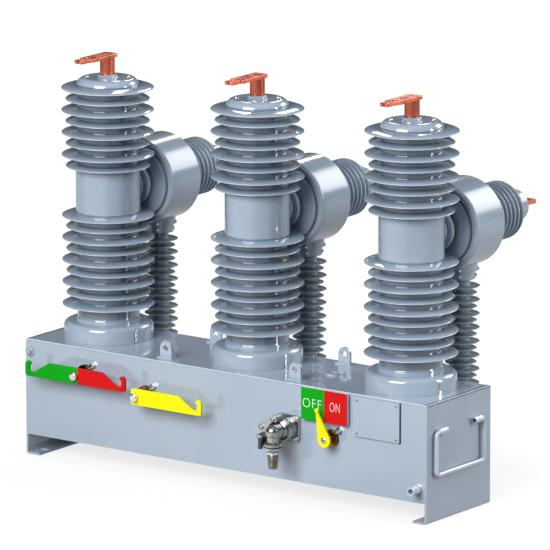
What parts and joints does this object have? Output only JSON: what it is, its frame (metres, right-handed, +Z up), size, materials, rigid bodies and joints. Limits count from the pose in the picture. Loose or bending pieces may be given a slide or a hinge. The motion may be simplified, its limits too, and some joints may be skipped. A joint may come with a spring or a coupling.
{
  "type": "pole mounted recloser",
  "caption": "Outdoor recloser: low steel tank on feet, tall shedded poles with copper terminals, current transformers on post insulators behind, hook-stick levers and OFF/ON pointer in front.",
  "frame": {"origin": "centre of the four foot slots, on the underside of the foot flanges", "axes": "+X along the tank towards the earth boss end, -Y out of the front panel, +Z up along the poles"},
  "size_m": [0.924, 0.5605, 0.7475],
  "materials": {
    "tank_paint": "gloss light blue-grey enamel",
    "bushing_resin": "glossy blue-grey cast resin",
    "drum_resin": "polished blue-grey cast resin",
    "post_resin": "glossy dark blue-grey resin",
    "copper": "bare copper",
    "green_paint": "green enamel",
    "red_paint": "red enamel",
    "yellow_paint": "yellow enamel",
    "bright_steel": "bright zinc plated",
    "zinc_bronze": "yellow passivated",
    "plate_enamel": "enamelled plate",
    "nickel": "nickel plated",
    "dark_steel": "dark machined steel",
    "ceramic_white": "white ceramic",
    "rod_insulation": "moulded insulating rod"
  },
  "bodies": {
    "tank": {"tank_wrap": "tank_paint", "left_end": "tank_paint", "right_end": "tank_paint", "tank_floor": "tank_paint", "front_lugs": "tank_paint", "rear_lifting_lugs": "tank_paint", "filler_plug": "tank_paint", "rear_brackets": "tank_paint", "handle_sleeves": "tank_paint", "earth_boss": "tank_paint", "foot_rings": "tank_paint", "bushing_a": "bushing_resin", "neck_a": "drum_resin", "transformer_a": "drum_resin", "rear_bushing_a": "drum_resin", "post_a": "post_resin", "terminal_pad_a": "copper", "bushing_b": "bushing_resin", "neck_b": "drum_resin", "transformer_b": "drum_resin", "rear_bushing_b": "drum_resin", "post_b": "post_resin", "terminal_pad_b": "copper", "bushing_c": "bushing_resin", "neck_c": "drum_resin", "transformer_c": "drum_resin", "rear_bushing_c": "drum_resin", "post_c": "post_resin", "terminal_pad_c": "copper", "post_holders": "drum_resin", "terminals": "copper", "rear_lugs": "copper", "contact_collectors": "copper", "bracket_screws": "bright_steel", "grease_pins": "bright_steel", "nameplate_rivets": "bright_steel", "connector_screws": "bright_steel", "clamp_screws": "bright_steel", "earth_stud": "bright_steel", "shaft_bushings": "zinc_bronze", "position_sign": "plate_enamel", "nameplate": "plate_enamel", "connector_socket": "nickel", "elbow_body": "nickel", "cable_clamp": "nickel", "cable_stub": "nickel", "shaft_bearings": "dark_steel", "vacuum_bottles": "ceramic_white"},
    "trip_lever": {"open_lever": "green_paint", "close_lever": "red_paint", "trip_shaft": "bright_steel"},
    "charge_lever": {"charge_lever": "yellow_paint", "charge_shaft": "bright_steel"},
    "pointer": {"pointer": "yellow_paint", "pointer_shaft": "bright_steel"},
    "cross_shaft": {"cross_shaft": "dark_steel"},
    "drive_rods": {"drive_rods": "rod_insulation"},
    "left_handle": {"left_handle": "tank_paint"},
    "right_handle": {"right_handle": "tank_paint"},
    "coupling_ring": {"coupling_ring": "nickel"}
  },
  "joints": [
    {"name": "trip_turn", "type": "hinge", "parent": "tank", "child": "trip_lever", "pos_m": [-0.3095, -0.13, 0.173], "axis": [0, 1, 0], "range_deg": [-30, 30]},
    {"name": "charge_turn", "type": "hinge", "parent": "tank", "child": "charge_lever", "pos_m": [-0.171, -0.13, 0.153], "axis": [0, 1, 0], "range_deg": [0, 60]},
    {"name": "shaft_turn", "type": "hinge", "parent": "tank", "child": "cross_shaft", "pos_m": [0, -0.05, 0.12], "axis": [1, 0, 0], "range_deg": [0, 9]},
    {"name": "pointer_turn", "type": "hinge", "parent": "tank", "child": "pointer", "pos_m": [0.244, -0.122, 0.1305], "axis": [0, 1, 0], "range_deg": [0, 33]},
    {"name": "rods_lift", "type": "slide", "parent": "tank", "child": "drive_rods", "axis": [0, 0, 1], "range_m": [0, 0.0093]},
    {"name": "left_handle_swing", "type": "hinge", "parent": "tank", "child": "left_handle", "pos_m": [-0.456, -0.0035, 0.165], "axis": [0, 1, 0], "range_deg": [0, 95]},
    {"name": "right_handle_swing", "type": "hinge", "parent": "tank", "child": "right_handle", "pos_m": [0.456, -0.0035, 0.165], "axis": [0, 1, 0], "range_deg": [-95, 0]},
    {"name": "coupling_spin", "type": "hinge", "parent": "tank", "child": "coupling_ring", "pos_m": [0.152, -0.116, 0.138], "axis": [0, 1, 0], "continuous": true}
  ],
  "couplings": [
    {"joint": "pointer_turn", "follows": "shaft_turn", "ratio": 3.5556},
    {"joint": "rods_lift", "follows": "shaft_turn", "m_per_rad": 0.058}
  ]
}
